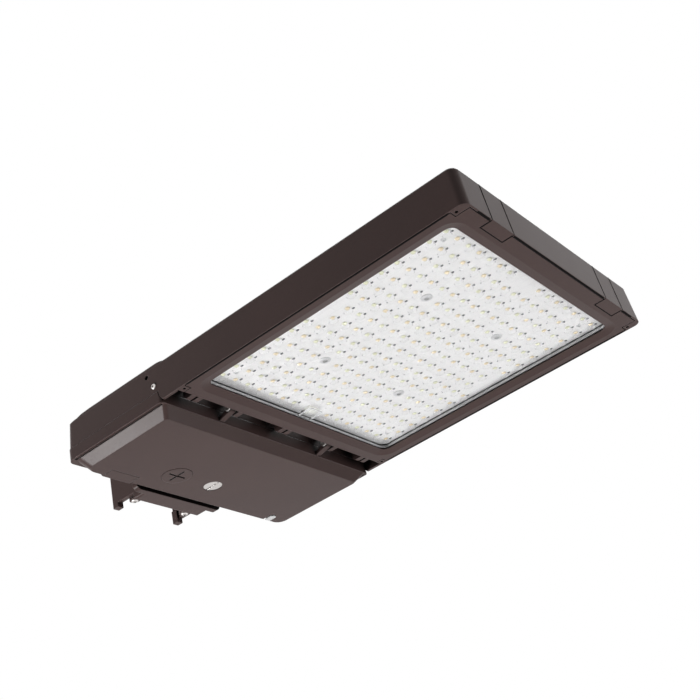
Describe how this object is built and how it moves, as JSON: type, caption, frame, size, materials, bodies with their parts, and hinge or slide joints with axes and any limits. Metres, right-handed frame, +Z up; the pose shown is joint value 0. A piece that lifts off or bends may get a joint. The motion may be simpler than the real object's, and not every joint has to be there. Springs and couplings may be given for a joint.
{
  "type": "shoebox area light",
  "caption": "Flat LED area light for a pole: finned die-cast head with a clear lens over an LED board, a hinged driver compartment cover below, and a short bolted pole arm",
  "frame": {"origin": "middle of the two pole bolt holes, on the face that sits against the pole", "axes": "+X runs level from the pole out to the tip of the head, +Y runs across the head, +Z is up"},
  "size_m": [0.5765, 0.3324, 0.0629],
  "materials": {
    "bronze_coat": "dark bronze powder coat, low gloss",
    "steel": "stainless, bright",
    "black_rubber": "matt",
    "clear_lens": "clear polycarbonate",
    "white_board": "white solder mask",
    "grey_pad": "matt",
    "cool_phosphor": "glossy",
    "warm_phosphor": "glossy",
    "white_plastic": "satin",
    "black_plastic": "satin",
    "driver_case": "satin",
    "green_screw": "green plated",
    "red_insulation": "satin"
  },
  "bodies": {
    "housing": {"housing": "bronze_coat", "pole_arm": "bronze_coat", "arm_gasket": "black_rubber", "arm_bolts": "steel", "arm_cover_screws": "steel", "lens_frame": "bronze_coat", "frame_screws": "steel", "frame_clips": "bronze_coat", "clip_screws": "steel", "optic_lens": "clear_lens", "lens_gasket": "black_rubber", "led_board": "white_board", "thermal_pad": "grey_pad", "cool_leds": "cool_phosphor", "warm_leds": "warm_phosphor", "board_screws": "steel", "board_connector": "white_plastic", "side_screws": "steel", "hinge_pins": "steel", "led_driver": "driver_case", "driver_screws": "steel", "surge_protector": "black_plastic", "terminal_block": "white_plastic", "switch_bracket": "steel", "colour_switch": "black_plastic", "power_switch": "black_plastic", "ground_screw": "green_screw", "duct_grommet": "black_rubber", "arm_grommet": "black_rubber", "breather_vent": "black_plastic", "led_leads": "red_insulation", "driver_leads": "white_plastic", "supply_leads": "black_rubber"},
    "driver_cover": {"driver_cover": "bronze_coat", "cover_gasket": "black_rubber", "slot_plug": "white_plastic"},
    "cover_screw": {"cover_screw": "steel", "screw_retainer": "black_rubber"},
    "sensor_plug": {"sensor_plug": "bronze_coat", "plug_seal": "black_rubber"},
    "colour_slider": {"colour_slider": "white_plastic"},
    "power_slider": {"power_slider": "white_plastic"}
  },
  "joints": [
    {"name": "cover_hinge", "type": "hinge", "parent": "housing", "child": "driver_cover", "pos_m": [0.219, 0, -0.029], "axis": [0, -1, 0], "range_deg": [0, 95]},
    {"name": "cover_screw_turn", "type": "hinge", "parent": "driver_cover", "child": "cover_screw", "pos_m": [0.1075, 0, -0.045], "axis": [0, 0, -1], "continuous": true},
    {"name": "plug_turn", "type": "hinge", "parent": "driver_cover", "child": "sensor_plug", "pos_m": [0.1075, -0.0546, -0.045], "axis": [0, 0, -1], "continuous": true},
    {"name": "colour_slide", "type": "slide", "parent": "housing", "child": "colour_slider", "axis": [0, 1, 0], "range_m": [-0.003, 0.003]},
    {"name": "power_slide", "type": "slide", "parent": "housing", "child": "power_slider", "axis": [0, 1, 0], "range_m": [-0.003, 0.003]}
  ]
}
